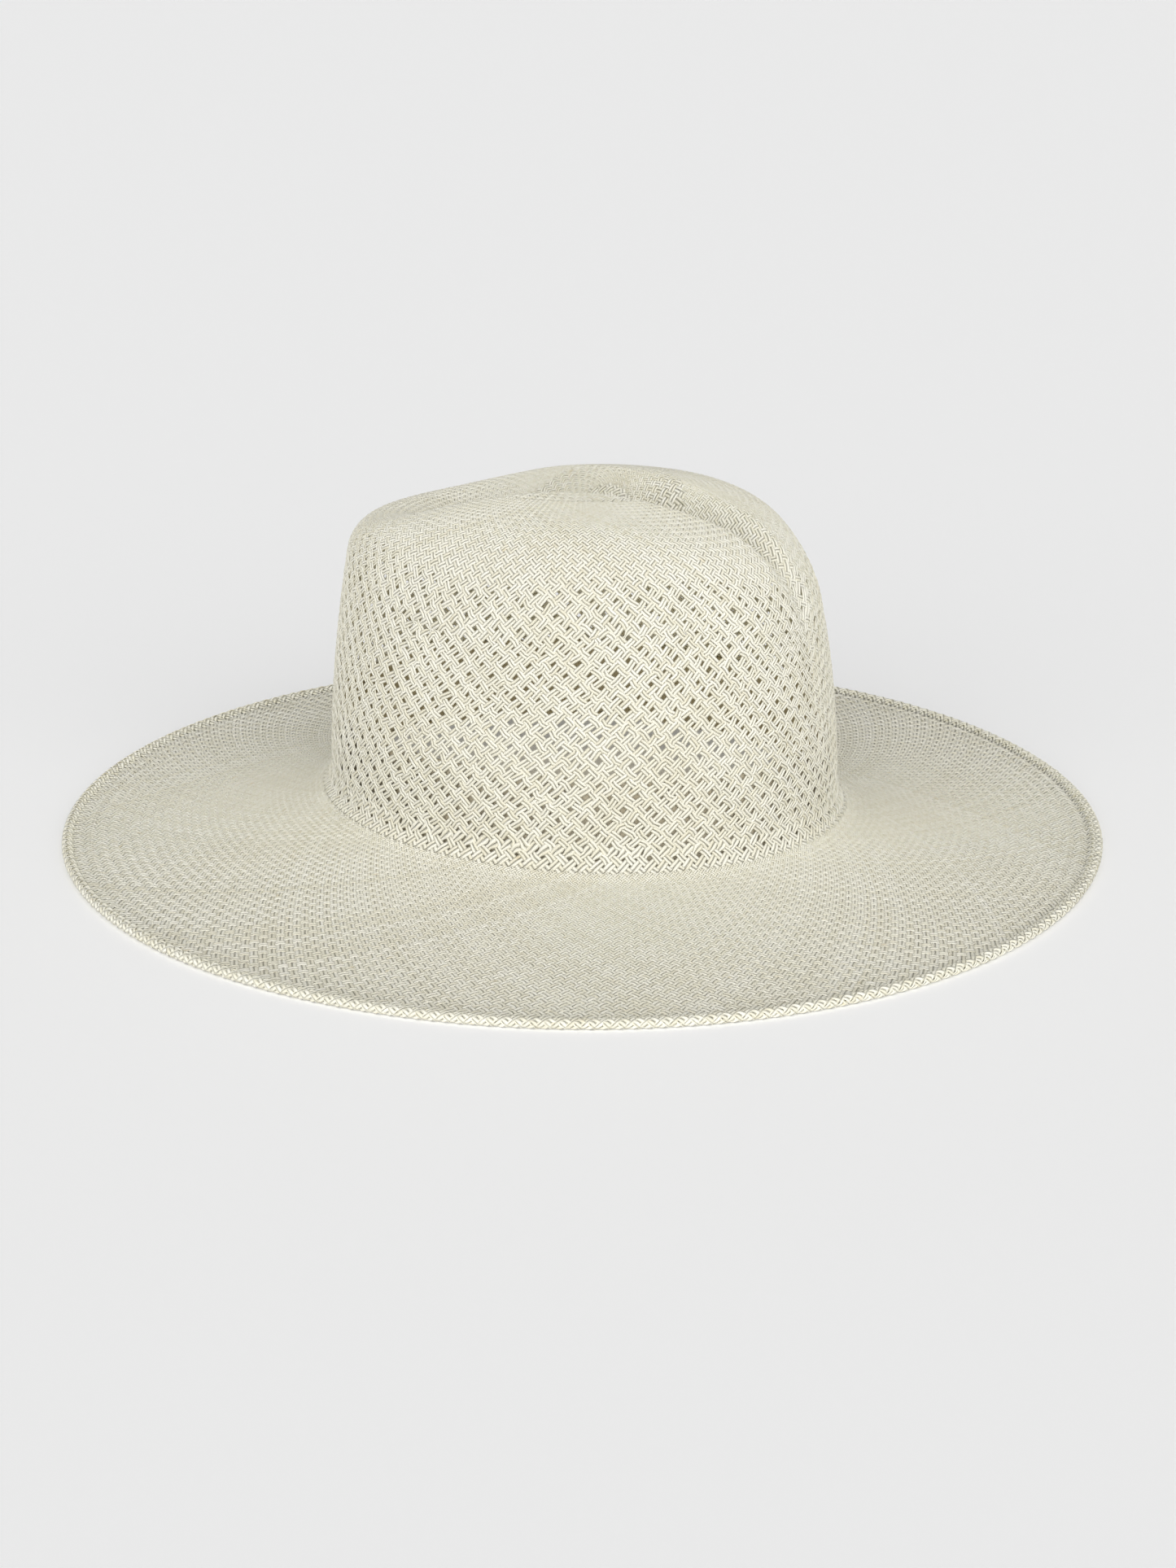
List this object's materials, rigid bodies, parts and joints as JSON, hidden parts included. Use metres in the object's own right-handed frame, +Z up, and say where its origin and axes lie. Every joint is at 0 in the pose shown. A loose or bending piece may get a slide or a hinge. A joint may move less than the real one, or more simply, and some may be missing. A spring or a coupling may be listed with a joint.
{
  "type": "panama hat",
  "caption": "Wide-brimmed vented straw hat with a creased teardrop crown, a wired and hemmed rim and an inner sweatband.",
  "frame": {"origin": "flat underside of the rim, below the middle of the crown", "axes": "+Z up through the crown, -Y towards the front of the hat, +X to the side"},
  "size_m": [0.3976, 0.4016, 0.1376],
  "materials": {
    "crown_straw": "bleached cream straw, open twill weave, soft sheen",
    "brim_straw": "bleached cream straw, close twill weave, soft sheen",
    "wire_steel": "drawn spring wire",
    "sewing_thread": "twisted cotton thread",
    "band_fabric": "ribbed cotton grosgrain",
    "ribbon_fabric": "fine ribbed ribbon, slight lustre",
    "label_fabric": "plain woven tab, blank"
  },
  "bodies": {
    "root": {"crown_tip": "crown_straw", "crown_side": "crown_straw", "brim": "brim_straw", "brim_hem": "brim_straw", "rim_wire": "wire_steel", "wire_joiner": "wire_steel", "hem_stitching": "sewing_thread", "sweatband": "band_fabric", "sweatband_reed": "band_fabric", "sweatband_stitching": "sewing_thread", "seam_tape": "ribbon_fabric", "size_label": "label_fabric", "sweatband_bow": "ribbon_fabric"}
  },
  "joints": []
}
